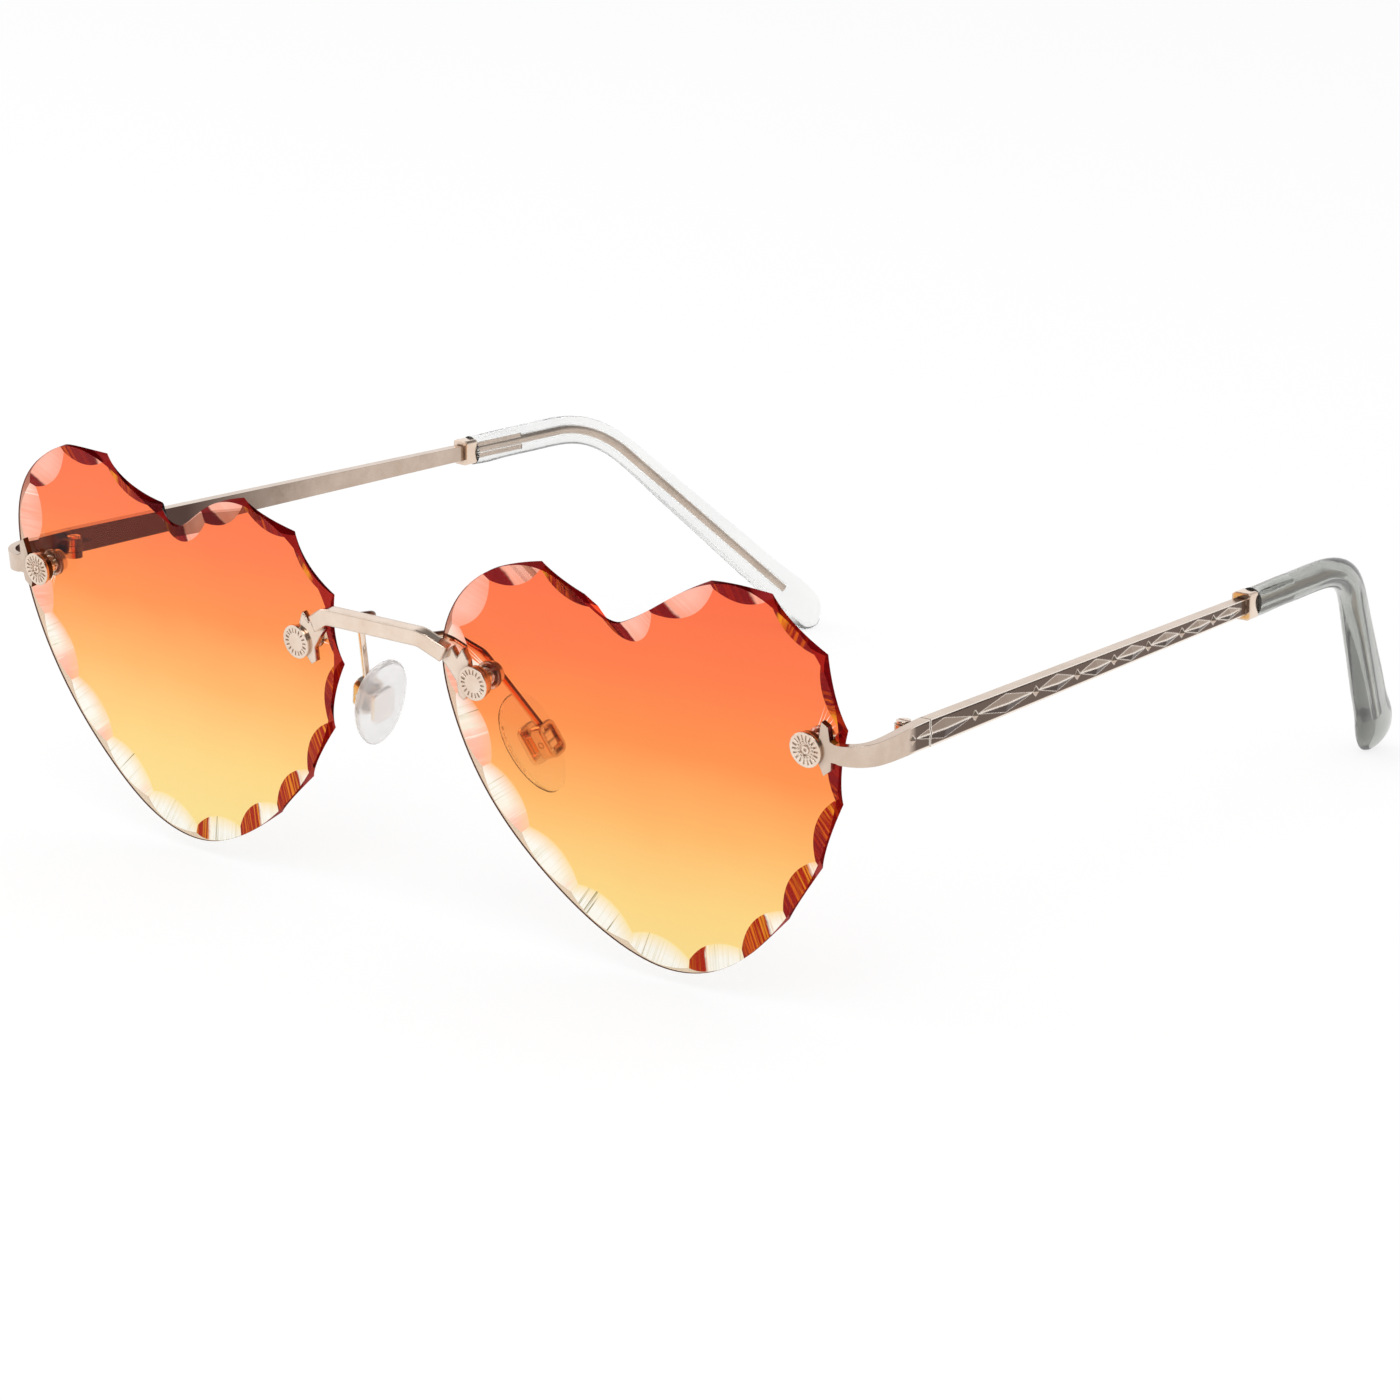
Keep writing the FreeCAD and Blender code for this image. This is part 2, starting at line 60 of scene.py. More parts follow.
# Lens on the wearer's left: its outer hole on the front face, its lean, its size and its holes
LENS_ORIGIN = (62.3 * MM, 0.0, 0.0)
LENS_TILT = math.radians(7.6)
LENS_WRAP = math.radians(2.5)
LENS_HEIGHT = 50.0 * MM
LENS_THICK = 2.4 * MM
HOLE_DROP = 17.5 * MM
HOLE_SPAN = 48.0 * MM
HOLE_REACH = 2.2 * MM
# How squarely a polished face looks forward or back, and how far a facet looks back at least
FACE_SHARE = 0.985
FACET_SHARE = 0.3
FRONT_SLOT, FACET_SLOT, WALL_SLOT, REAR_SLOT = range(4)

# Nose pad on the wearer's left
PAD_CENTRE = (15.2 * MM, 9.6 * MM, -10.0 * MM)
PAD_LONG = (0.35, 0.30, -0.89)
PAD_FACE = (-0.931, 0.0, -0.366)
PAD_LENGTH = 13.0 * MM
PAD_WIDTH = 8.0 * MM
PAD_THICK = 2.4 * MM
PAD_REAR = 1.4 * MM
PAD_TAPER = 0.13
PAD_ROUND = 0.92
PAD_BACK = 6
PAD_DOME = 2.6
PAD_RINGS = 14
PAD_TURNS = 56

# Beads on the heads of the outer lens screws
HEAD_LEVEL = 1.2 * MM
BEAD_RING = 0.97 * MM
BEAD_RADIUS = 0.15 * MM
BEAD_COUNT = 14

# Temple bar: its middle level, its half height at both ends, and where its relief and its painted
# shade change
BAR_LEVEL = 0.3 * MM
BAR_FRONT_Y = 11.7 * MM
BAR_REAR_Y = 80.2 * MM
BAR_FRONT_HALF = 1.6 * MM
BAR_REAR_HALF = 1.0 * MM
RELIEF_START = 7.5 * MM
RELIEF_FULL = 9.0 * MM
# Where the painted shade of the inner side starts to fade and where it is faintest
INNER_SHADE_START = 30.0 * MM
INNER_SHADE_END = 54.0 * MM
CORE_FADE = 2.0 * MM

# Most of a noise texture lies in this range
NOISE_RANGE = (0.3, 0.7)
EDGE_SAMPLES = 6
# Samples for the painted highlights on the edges of the temple relief
HIGHLIGHT_SAMPLES = 8
CORNER_SAMPLES = 8


def srgb(r, g, b):
    """Linear colour from 8-bit display values."""
    out = []
    for c in (r, g, b):
        c = c / 255
        out.append(c / 12.92 if c <= 0.04045 else ((c + 0.055) / 1.055) ** 2.4)
    return (*out, 1.0)


def grey(tone):
    return (tone, tone, tone, 1.0)


def powered(colour, power):
    return (*[c ** power for c in colour[:3]], 1.0)


def mirrored(vector, sign):
    """A place or direction of the wearer's left, led to the side of the given sign."""
    return np.array(vector) * np.array([sign, 1, 1])


class Nodes:
    """Short calls to add nodes to a tree and to join them."""

    def __init__(self, tree):
        self.tree = tree

    def add(self, kind, inputs=None, **props):
        node = self.tree.nodes.new("ShaderNode" + kind)
        for name, value in props.items():
            setattr(node, name, value)
        for key, value in (inputs or {}).items():
            self.feed(node.inputs[key], value)
        return node

    def feed(self, socket, value):
        if isinstance(value, bpy.types.NodeSocket):
            self.tree.links.new(value, socket)
        else:
            socket.default_value = value

    def place(self):
        return self.add("TexCoord").outputs["Object"]

    def math(self, kind, a, b=0.0):
        return self.add("Math", {0: a, 1: b}, operation=kind).outputs[0]

    def dot(self, a, b):
        node = self.add("VectorMath", {0: a, 1: b}, operation="DOT_PRODUCT")
        return node.outputs["Value"]

    def noise(self, scale, detail, rough=0.5, vector=None):
        node = self.add("TexNoise", {"Scale": scale, "Detail": detail, "Roughness": rough})
        self.feed(node.inputs["Vector"], vector or self.place())
        return node.outputs["Fac"]

    def span(self, value, low, high, to_low=0.0, to_high=1.0):
        """A value led from one range to another and kept inside it."""
        node = self.add("MapRange", {
            "Value": value, "From Min": low, "From Max": high, "To Min": to_low, "To Max": to_high})
        return node.outputs["Result"]

    def vary(self, scale, detail, low, high, rough=0.5):
        """A value that wanders over the piece between two ends."""
        return self.span(self.noise(scale, detail, rough), *NOISE_RANGE, low, high)

    def ramp(self, factor, stops):
        node = self.add("ValToRGB", {"Fac": factor})
        elements = node.color_ramp.elements
        while len(elements) < len(stops):
            elements.new(0.5)
        for element, (at, colour) in zip(elements, stops):
            element.position = at
            element.color = colour
        return node.outputs["Color"]

    def mix(self, factor, a, b):
        return self.add("MixRGB", {"Fac": factor, "Color1": a, "Color2": b}).outputs["Color"]


class Material(Nodes):
    """A new material with a Principled surface."""

    def __init__(self, name):
        self.made = bpy.data.materials.new(name)
        self.made.use_nodes = True
        super().__init__(self.made.node_tree)
        self.surface = self.tree.nodes["Principled BSDF"]

    def set(self, **sockets):
        """Feed sockets of the surface, with _ for each space in their names."""
        for name, value in sockets.items():
            self.feed(self.surface.inputs[name.replace("_", " ")], value)

    def bump(self, height, strength, distance, edge=0.0):
        """Fine bump, over edges rounded in the shading where a radius is given."""
        node = self.add("Bump", {"Strength": strength, "Distance": distance, "Height": height})
        if edge:
            soft = self.add("Bevel", {"Radius": edge}, samples=EDGE_SAMPLES)
            self.feed(node.inputs["Normal"], soft.outputs["Normal"])
        self.set(Normal=node.outputs["Normal"])


# Lens: polished faces, ground facets and the wall of its edge

# Light that crosses a clear surface takes the root of its colour, so this power gives it whole
WHOLE = 2

# Tint of the lens from its lowest point to its highest, for light that crosses both faces
TINT = [
    (0.00, srgb(255, 227, 147)),
    (0.16, srgb(255, 217, 135)),
    (0.36, srgb(255, 186, 106)),
    (0.55, srgb(255, 149, 79)),
    (0.75, srgb(255, 127, 77)),
    (1.00, srgb(255, 112, 74)),
]
TINT_SHIFT = {"left": 0.0, "right": -0.07}
TINT_CLOUD = 0.012
# The front face takes this much of the tint, and the rear face the rest
FRONT_POWER = 0.15
REAR_POWER = WHOLE - FRONT_POWER
# The lens coat gives back mostly red
LENS_GLINT = (1.0, 0.15, 0.15, 1.0)
LENS_IOR = 1.22
# The ground edge hardly bends light, so its painted tones stay in place
EDGE_IOR = 1.01
WALL_CLEAR = 0.75

# Colours of the painted shade, highlights and streaks on the ground facets
BURGUNDY = srgb(122, 24, 30)
MAROON = srgb(142, 32, 32)
CHERRY = srgb(168, 40, 22)
EMBER = srgb(216, 96, 28)
AMBER = srgb(238, 148, 40)
PINK = srgb(255, 200, 184)
ROSE = srgb(255, 180, 158)
CREAM = srgb(255, 251, 242)
CLEAR = srgb(255, 255, 253)
OLIVE = srgb(242, 239, 226)
STROKE = srgb(150, 138, 100)

# Painted shade and highlights of the edge by the turn of its surface, in degrees from +X towards +Z
FACET_TONES = [
    (-180, PINK), (-164, CREAM), (-150, CLEAR), (-72, CLEAR), (-60, CREAM),
    (-57, CHERRY), (-30, CHERRY), (-8, MAROON), (24, BURGUNDY), (40, MAROON),
    (43, AMBER), (49, AMBER), (53, CHERRY), (68, MAROON), (104, BURGUNDY),
    (107, ROSE), (130, PINK), (160, ROSE), (180, PINK),
]
# Painted streaks of highlight and shade on the facets, by the same turn
STREAK_TONES = [
    (-180, CREAM), (-160, OLIVE), (-64, OLIVE), (-58, AMBER), (-20, EMBER),
    (0, CHERRY), (20, CHERRY), (34, EMBER), (62, EMBER), (80, CHERRY),
    (104, MAROON), (107, PINK), (180, PINK),
]
# Painted shade of the wall by its turn, the same in its front border and behind it
WALL_DARK_TONES = [
    (-60, srgb(140, 58, 46)), (-30, srgb(180, 82, 84)), (0, srgb(186, 88, 98)),
    (40, srgb(176, 78, 90)), (70, srgb(142, 50, 58)), (90, srgb(130, 42, 46)),
    (120, srgb(140, 58, 56)),
]
# The front border of the wall, in painted shade
WALL_TONES = [
    (-180, srgb(92, 60, 46)), (-90, srgb(84, 54, 40)), *WALL_DARK_TONES,
    (150, srgb(118, 70, 58)), (180, srgb(92, 60, 46)),
]
# The wall behind its front border, clear where the border is painted brown shade
WALL_INNER_TONES = [
    (-180, srgb(244, 224, 206)), (-80, srgb(244, 228, 208)), *WALL_DARK_TONES,
    (150, srgb(210, 150, 130)), (180, srgb(244, 224, 206)),
]
# Depths under the front face where that border begins to fade and where it has gone
BORDER_FADE = 0.33 * MM
BORDER_END = 0.44 * MM

# Painted streaks of highlight and shade on the facets: their number, their slant, and the noise
# where they begin and are full
STREAK_TURNS = 16.0
STREAK_DRIFT = 130.0
STREAK_START = 0.50
STREAK_FULL = 0.62
# The strongest streaks of the pale facets are grey strokes of painted shade
STROKE_START = 0.635
STROKE_FULL = 0.68
STROKE_PALE = 0.8
# How far the lens tint runs into the pale facets from their inner border
FACET_FADE = [
    (-180, 0.6), (-160, 1.0), (-64, 1.0), (-57, 0.0), (104, 0.0), (108, 0.5), (180, 0.6),
]
FADE_DEPTH = 1.3 * MM
FACET_TINT = 1.3
# Share of the lens tint on facets that are met from outside
FACET_ENTRY = 0.85


def lens_axes(sign):
    """Lens directions of one side: outward, up and front."""
    c, s = math.cos(LENS_WRAP), math.sin(LENS_WRAP)
    ct, st = math.cos(LENS_TILT), math.sin(LENS_TILT)
    outward = mirrored([c, s, 0], sign)
    up = mirrored([st * s, -st * c, ct], sign)
    front = mirrored([ct * s, -ct * c, -st], sign)
    return outward, up, front


def lens_height_share(g, sign):
    """0 at the lowest point of the lens and 1 at the highest."""
    up = lens_axes(sign)[1]
    return g.span(g.dot(g.place(), tuple(up)), HOLE_DROP - LENS_HEIGHT, HOLE_DROP)


def lens_depth_share(g, sign, start, end):
    """0 to 1 between two depths under the front face of the lens."""
    front = lens_axes(sign)[2]
    face = float(mirrored(LENS_ORIGIN, sign) @ front)
    return g.span(g.dot(g.place(), tuple(front)), face - start, face - end)


def tint_stops(power):
    return [(at, powered(colour, power)) for at, colour in TINT]


def surface_turn(g):
    """Turn of the surface's outward direction, and whether the surface is met from inside."""
    surface = g.add("NewGeometry")
    inside = surface.outputs["Backfacing"]
    outside = g.span(inside, 0.0, 1.0, 1.0, -1.0)
    rise = g.math("MULTIPLY", g.dot(surface.outputs["Normal"], (0, 0, 1)), outside)
    side = g.math("MULTIPLY", g.dot(surface.outputs["Normal"], (1, 0, 0)), outside)
    return g.math("ARCTAN2", rise, side), inside


def turn_share(g, turn, grain):
    """0 to 1 round the lens, from a turn of -180 degrees to one of 180."""
    return g.span(g.math("ADD", turn, grain), -math.pi, math.pi)


def turn_ramp(g, share, tones, power=WHOLE):
    """Tones that are listed by turns in degrees."""
    return g.ramp(share, [((turn + 180) / 360, powered(tone, power)) for turn, tone in tones])


def lens_face(side, name, power):
    """One polished face of the lens, which takes its share of the graded tint."""
    g = Material(name + "_" + side)
    shift = TINT_SHIFT[side]
    cloud = g.vary(90.0, detail=4.0, low=shift - TINT_CLOUD, high=shift + TINT_CLOUD)
    share = g.math("ADD", lens_height_share(g, SIDES[side]), cloud)
    g.set(
        Base_Color=g.ramp(share, tint_stops(power)),
        Roughness=g.span(g.noise(700.0, detail=2.0), 0.35, 0.65, 0.004, 0.014),
        Metallic=0.0,
        IOR=LENS_IOR,
        Transmission_Weight=1.0,
        Specular_Tint=LENS_GLINT,
    )
    g.bump(g.noise(60.0, detail=2.0), strength=0.02, distance=0.04 * MM)
    return g.made


def lens_facet(side):
    """Ground hollows of the lens in painted shade and highlights: dark, amber or pale by their
    turn, and streaked.
    """
    sign = SIDES[side]
    g = Material("lens_facet_" + side)
    turn, inside = surface_turn(g)
    share = turn_share(g, turn, g.vary(420.0, detail=5.0, low=-0.03, high=0.03, rough=0.6))
    plain = turn_ramp(g, share, FACET_TONES)
    streaked = turn_ramp(g, share, STREAK_TONES)
    across = g.add("SeparateXYZ", {0: g.place()}).outputs["X"]
    fan = g.add("CombineXYZ", {
        "X": g.math("MULTIPLY", turn, STREAK_TURNS), "Y": g.math("MULTIPLY", across, STREAK_DRIFT)})
    streaks = g.noise(1.0, detail=3.0, rough=0.6, vector=fan.outputs["Vector"])
    tone = g.mix(g.span(streaks, STREAK_START, STREAK_FULL), plain, streaked)
    body = g.ramp(lens_height_share(g, sign), tint_stops(FACET_TINT))
    pale = turn_ramp(g, share, [(at, grey(fade)) for at, fade in FACET_FADE], power=1)
    border = g.math("MULTIPLY", lens_depth_share(g, sign, FADE_DEPTH, LENS_THICK), pale)
    stroke = g.math("MULTIPLY", g.span(streaks, STROKE_START, STROKE_FULL),
                    g.span(pale, STROKE_PALE, 1.0))
    ground = g.mix(stroke, g.mix(border, tone, body), powered(STROKE, WHOLE))
    g.set(
        Base_Color=g.mix(g.span(inside, 0.0, 1.0, FACET_ENTRY, 0.0), ground, body),
        Roughness=g.vary(1500.0, detail=3.0, low=0.02, high=0.08),
        Metallic=0.0,
        IOR=EDGE_IOR,
        Transmission_Weight=1.0,
    )
    g.bump(g.noise(900.0, detail=3.0), strength=0.05, distance=0.05 * MM)
    return g.made


def lens_wall(side):
    """Edge of the lens between the front face and the ground hollows, in painted shade by the turn
    of its surface.
    """
    g = Material("lens_wall_" + side)
    turn, _ = surface_turn(g)
    share = turn_share(g, turn, g.vary(300.0, detail=3.0, low=-0.2, high=0.2))
    border = turn_ramp(g, share, WALL_TONES)
    inner = turn_ramp(g, share, WALL_INNER_TONES)
    near_front = lens_depth_share(g, SIDES[side], BORDER_END, BORDER_FADE)
    g.set(
        Base_Color=g.mix(near_front, inner, border),
        Roughness=g.vary(1200.0, detail=3.0, low=0.06, high=0.16),
        Metallic=0.0,
        IOR=EDGE_IOR,
        Transmission_Weight=WALL_CLEAR,
    )
    g.bump(g.noise(1600.0, detail=3.0), strength=0.06, distance=0.03 * MM)
    return g.made


# Plated metal

HAZE = {"scale": 260.0, "detail": 5.0, "rough": 0.6}
FINE_GRAIN = {"scale": 2600.0, "detail": 2.0}
GRAIN_DEPTH = 0.02 * MM
# How dark the painted shade in the corners of the plating is
PLATE_CORNER_SHADE = 0.6

GOLD_LOW = srgb(226, 202, 182)
GOLD_HIGH = srgb(240, 222, 206)
# Painted shade in the corners of the plating
GOLD_CORNER_SHADE = srgb(112, 78, 62)
INSERT_LOW = srgb(246, 236, 230)
INSERT_HIGH = srgb(252, 246, 242)

# The pad arms have a painted highlight where they look this way, and painted shade where they look
# away from it
WIRE_BRIGHT_SIDE = (0.15, -0.5, -0.85)
WIRE_RANGE = (-0.6, 0.8)
WIRE_TONES = [
    (0.0, srgb(92, 54, 38)), (0.45, srgb(130, 86, 62)),
    (0.6, srgb(222, 192, 164)), (1.0, GOLD_HIGH),
]

TEMPLE_LOW = srgb(200, 178, 160)
TEMPLE_HIGH = srgb(222, 202, 186)
# Painted shade along the front of the inner side
TEMPLE_INNER_SHADE = srgb(86, 66, 60)
# Painted shade in the corners of the temple
TEMPLE_CORNER_SHADE = srgb(84, 62, 52)
TEMPLE_GROUND = srgb(102, 85, 75)
# Painted highlight on the edges of the relief
TEMPLE_EDGE_HIGHLIGHT = srgb(252, 240, 228)
# Slopes of the relief, from those that look down to those that look up: painted shade on the lower
# slopes and painted light on the upper
SLOPE_RANGE = (-0.45, 0.45)
SLOPE_TONES = [
    (0.0, srgb(60, 44, 36)), (0.38, srgb(84, 66, 57)), (0.46, TEMPLE_GROUND),
    (0.54, TEMPLE_GROUND), (0.62, srgb(120, 102, 90)), (1.0, srgb(176, 158, 144)),
]
# Rims of the bar, from its lower edge to its upper, with painted highlights along both edges and a
# dark line below the upper one; they lie beyond this share of its half height
RIM_LEVEL = 0.8
RIM_TONES = [
    (0.0, srgb(255, 255, 255)), (0.05, srgb(240, 224, 210)), (0.09, TEMPLE_GROUND),
    (0.86, TEMPLE_GROUND), (0.9, srgb(48, 34, 28)), (0.95, srgb(48, 34, 28)),
    (0.98, srgb(226, 208, 194)),
]
# Painted edge highlights start and are full where the surface agrees this far with the same surface
# eased
HIGHLIGHT_RADIUS = 0.3 * MM
HIGHLIGHT_START = 0.997
HIGHLIGHT_FULL = 0.988
# How far a surface has to look outward or inward to belong to that side of the bar
SIDE_START = 0.7
SIDE_FULL = 0.85


def corner_shade(g, reach, shut, clear, dark):
    """How far a place is darkened, by the share of open space near it."""
    corner = g.add("AmbientOcclusion", {"Distance": reach}, samples=CORNER_SAMPLES)
    return g.span(corner.outputs["AO"], shut, clear, dark, 0.0)


def metal_finish(g, colour, haze, rough, grain, strength, edge):
    """Metal hazed between two roughnesses, finely grained, with soft edges."""
    fine = g.noise(**FINE_GRAIN)
    hazed = g.span(haze, *NOISE_RANGE, *rough)
    grained = g.span(fine, *NOISE_RANGE, 0.0, grain)
    g.set(Base_Color=colour, Metallic=1.0, Roughness=g.math("ADD", hazed, grained))
    g.bump(fine, strength, GRAIN_DEPTH, edge)
    return g.made


def gold_plating(g, plate, haze, edge, dark=PLATE_CORNER_SHADE):
    """Finish of the polished pieces, with painted shade in their corners."""
    shade = corner_shade(g, reach=0.9 * MM, shut=0.35, clear=0.95, dark=dark)
    colour = g.mix(shade, plate, GOLD_CORNER_SHADE)
    return metal_finish(g, colour, haze, rough=(0.07, 0.14), grain=0.04, strength=0.04, edge=edge)


def pale_gold(name, edge, low=GOLD_LOW, high=GOLD_HIGH, dark=PLATE_CORNER_SHADE):
    """Polished rose gold plating."""
    g = Material(name)
    haze = g.noise(**HAZE)
    plate = g.ramp(haze, list(zip(NOISE_RANGE, (low, high))))
    return gold_plating(g, plate, haze, edge, dark)


def wire_gold():
    """The same plating on the pad arms, with painted shade on their upper sides and a painted
    highlight on their lower sides.
    """
    g = Material("wire_gold")
    haze = g.noise(**HAZE)
    lit = g.dot(g.add("TexCoord").outputs["Normal"], WIRE_BRIGHT_SIDE)
    shade = g.math("ADD", lit, g.span(haze, *NOISE_RANGE, -0.08, 0.08))
    plate = g.ramp(g.span(shade, *WIRE_RANGE), WIRE_TONES)
    return gold_plating(g, plate, haze, edge=0.1 * MM)


def temple_gold():
    """The same plating, with the ground of the relief dark, painted shade on its lower slopes and
    painted light on its upper slopes.
    """
    g = Material("temple_gold")
    haze = g.noise(**HAZE)
    coords = g.add("TexCoord")
    normal = coords.outputs["Normal"]
    x, y, z = g.add("SeparateXYZ", {0: coords.outputs["Object"]}).outputs
    outward = g.math("MULTIPLY", g.dot(normal, (1, 0, 0)), g.math("SIGN", x))

    # Plain plating, with painted shade along the front of the inner side
    clean = g.ramp(haze, list(zip(NOISE_RANGE, (TEMPLE_LOW, TEMPLE_HIGH))))
    inner_shade = g.math("MULTIPLY", g.span(outward, -SIDE_START, -SIDE_FULL),
                  g.span(y, INNER_SHADE_START, INNER_SHADE_END, 1.0, 0.15))
    plate = g.mix(inner_shade, clean, TEMPLE_INNER_SHADE)

    # Relief of the outer side: slopes in painted shade and light, rims along both edges, and
    # painted highlights on the edges of the relief
    slopes = g.ramp(g.span(g.dot(normal, (0, 0, 1)), *SLOPE_RANGE), SLOPE_TONES)
    half = g.span(y, BAR_FRONT_Y, BAR_REAR_Y, BAR_FRONT_HALF, BAR_REAR_HALF)
    level = g.math("DIVIDE", g.math("SUBTRACT", z, BAR_LEVEL), half)
    rims = g.ramp(g.span(level, -1.0, 1.0), RIM_TONES)
    on_rim = g.math("GREATER_THAN", g.math("ABSOLUTE", level), RIM_LEVEL)
    # Painted highlight along the edges of the relief
    eased = g.add("Bevel", {"Radius": HIGHLIGHT_RADIUS}, samples=HIGHLIGHT_SAMPLES)
    agree = g.dot(eased.outputs["Normal"], g.add("NewGeometry").outputs["Normal"])
    edge_highlight = g.span(agree, HIGHLIGHT_START, HIGHLIGHT_FULL)
    relief = g.mix(edge_highlight, g.mix(on_rim, slopes, rims), TEMPLE_EDGE_HIGHLIGHT)
    outer = g.math("MULTIPLY", g.span(outward, SIDE_START, SIDE_FULL),
                   g.span(y, RELIEF_START, RELIEF_FULL))
    face = g.mix(outer, plate, relief)

    # The core inside the clear tip has no painted corner shade
    bare = g.span(y, BAR_REAR_Y, BAR_REAR_Y + CORE_FADE, 0.8, 0.0)
    corners = corner_shade(g, reach=0.8 * MM, shut=0.4, clear=0.97, dark=1.0)
    colour = g.mix(g.math("MULTIPLY", corners, bare), face, TEMPLE_CORNER_SHADE)
    return metal_finish(
        g, colour, haze, rough=(0.10, 0.20), grain=0.06, strength=0.05, edge=0.08 * MM)


# Clear plastic: the density is that of the grey inside the tips

TIP_GREY = srgb(150, 152, 145)
# The left tip's darker colours and far denser grey than the right tip's are painted shade
TIP_LOOKS = {
    "left": dict(low=srgb(222, 225, 220), high=srgb(240, 241, 237),
                 rough=0.02, ior=1.46, clear=0.96, density=265.0),
    "right": dict(low=srgb(246, 247, 246), high=srgb(254, 254, 253),
                  rough=0.02, ior=1.25, clear=0.96, density=14.0),
}
PAD_LOOKS = {
    "left": dict(low=srgb(250, 250, 251), high=WHITE, rough=0.04, ior=1.14, clear=0.97),
    "right": dict(low=srgb(250, 249, 249), high=WHITE, rough=0.05, ior=1.16, clear=0.68),
}
SLEEVE_LOOK = dict(
    low=srgb(236, 236, 232), high=srgb(250, 250, 248), rough=0.05, ior=1.46, clear=0.9)


def clear_plastic(name, low, high, rough, ior, clear, density=0.0):
    g = Material(name)
    if density:
        depth = g.add("VolumeAbsorption", {"Color": TIP_GREY, "Density": density})
        g.feed(g.tree.nodes["Material Output"].inputs["Volume"], depth.outputs["Volume"])
    cloud = g.noise(140.0, detail=4.0)
    g.set(
        Base_Color=g.ramp(cloud, list(zip(NOISE_RANGE, (low, high)))),
        Roughness=g.vary(800.0, detail=3.0, low=rough, high=rough * 2),
        Metallic=0.0,
        IOR=ior,
        Transmission_Weight=clear,
    )
    g.bump(g.noise(300.0, detail=2.0), strength=0.008, distance=0.04 * MM)
    return g.made


# Pieces

def assign(obj, *materials):
    obj.data.materials.clear()
    for material in materials:
        obj.data.materials.append(material)


def add_piece(name, mesh, *materials):
    piece = bpy.data.objects.new(name, mesh)
    scene.collection.objects.link(piece)
    assign(piece, *materials)
    return piece


def smooth_mesh(name, bm):
    """Mesh of a finished bmesh, with smooth shading."""
    mesh = bpy.data.meshes.new(name)
    bm.to_mesh(mesh)
    bm.free()
    for polygon in mesh.polygons:
        polygon.use_smooth = True
    return mesh


def lens_piece(side):
    """The lens with its front and rear, its ground facets and its edge told apart."""
    sign = SIDES[side]
    name = "tinted_lens_" + side
    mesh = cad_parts["lens_" + side].data.copy()
    mesh.name = name
    facet, wall = lens_facet(side), lens_wall(side)
    front_face = lens_face(side, "lens_front", FRONT_POWER)
    rear_face = lens_face(side, "lens_rear", REAR_POWER)
    piece = add_piece(name, mesh, front_face, facet, wall, rear_face)
    outward, up, front = lens_axes(sign)
    origin = mirrored(LENS_ORIGIN, sign)
    for polygon in mesh.polygons:
        facing = np.array(polygon.normal) @ front
        place = np.array(polygon.center) - origin
        x, y = place @ outward, place @ up
        near_hole = min(np.hypot(x, y), np.hypot(x + HOLE_SPAN, y)) < HOLE_REACH
        if near_hole or facing > FACE_SHARE:
            polygon.material_index = FRONT_SLOT
        elif facing < -FACE_SHARE:
            polygon.material_index = REAR_SLOT
        elif facing < -FACET_SHARE:
            polygon.material_index = FACET_SLOT
        else:
            polygon.material_index = WALL_SLOT
    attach(piece, "front")
    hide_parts("lens_" + side)


def pad_axes(sign):
    """Nose pad directions of one side: across, along and towards the nose."""
    face = np.array(PAD_FACE) / np.linalg.norm(PAD_FACE)
    along = np.array(PAD_LONG)
    along = along - face * (along @ face)
    along = along / np.linalg.norm(along)
    across = np.cross(along, face)
    return mirrored(across, sign), mirrored(along, sign), mirrored(face, sign)


def pad_outline(angle):
    """Rounded drop of the pad's outline, from -1 to 1 along it."""
    x, y = math.cos(angle), math.sin(angle)
    return math.copysign(abs(x) ** PAD_ROUND, x) * (1 - PAD_TAPER * y), y


def pad_profile():
    """Size and level of each ring of the pad, from the middle of its back to that of its front."""
    profile = []
    for i in range(PAD_RINGS + 1):
        share = i / PAD_RINGS
        if share < 0.5:
            radius = math.sin(share * math.pi)
            level = PAD_THICK * 0.5 * (1 - math.sqrt(max(0, 1 - radius ** PAD_BACK)))
        else:
            radius = math.sin((1 - share) * math.pi)
            level = PAD_THICK * (0.5 + 0.5 * math.sqrt(max(0, 1 - radius ** PAD_DOME)))
        profile.append((radius, level))
    return profile


def pad_piece(side, material):
    """Moulded pad: a rounded drop in outline, domed towards the nose and flat behind."""
    sign = SIDES[side]
    across, along, face = pad_axes(sign)
    centre = mirrored(PAD_CENTRE, sign)
    bm = bmesh.new()

    def vertex(x, y, level):
        return bm.verts.new(centre + across * x + along * y + face * (PAD_REAR + level))

    profile = pad_profile()
    loops = []
    for radius, level in profile[1:-1]:
        loop = []
        for j in range(PAD_TURNS):
            x, y = pad_outline(2 * math.pi * j / PAD_TURNS)
            loop.append(vertex(x * radius * PAD_WIDTH / 2, y * radius * PAD_LENGTH / 2, level))
        loops.append(loop)
    back, front = vertex(0, 0, profile[0][1]), vertex(0, 0, profile[-1][1])
    for a, b in zip(loops, loops[1:]):
        for j in range(PAD_TURNS):
            k = (j + 1) % PAD_TURNS
            bm.faces.new([a[j], a[k], b[k], b[j]])
    for j in range(PAD_TURNS):
        k = (j + 1) % PAD_TURNS
        bm.faces.new([back, loops[0][k], loops[0][j]])
        bm.faces.new([front, loops[-1][j], loops[-1][k]])
    bmesh.ops.recalc_face_normals(bm, faces=bm.faces)
    name = "moulded_pad_" + side
    piece = add_piece(name, smooth_mesh(name, bm), material)
    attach(piece, "nose_pad_" + side)
    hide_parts("nose_pad_" + side)


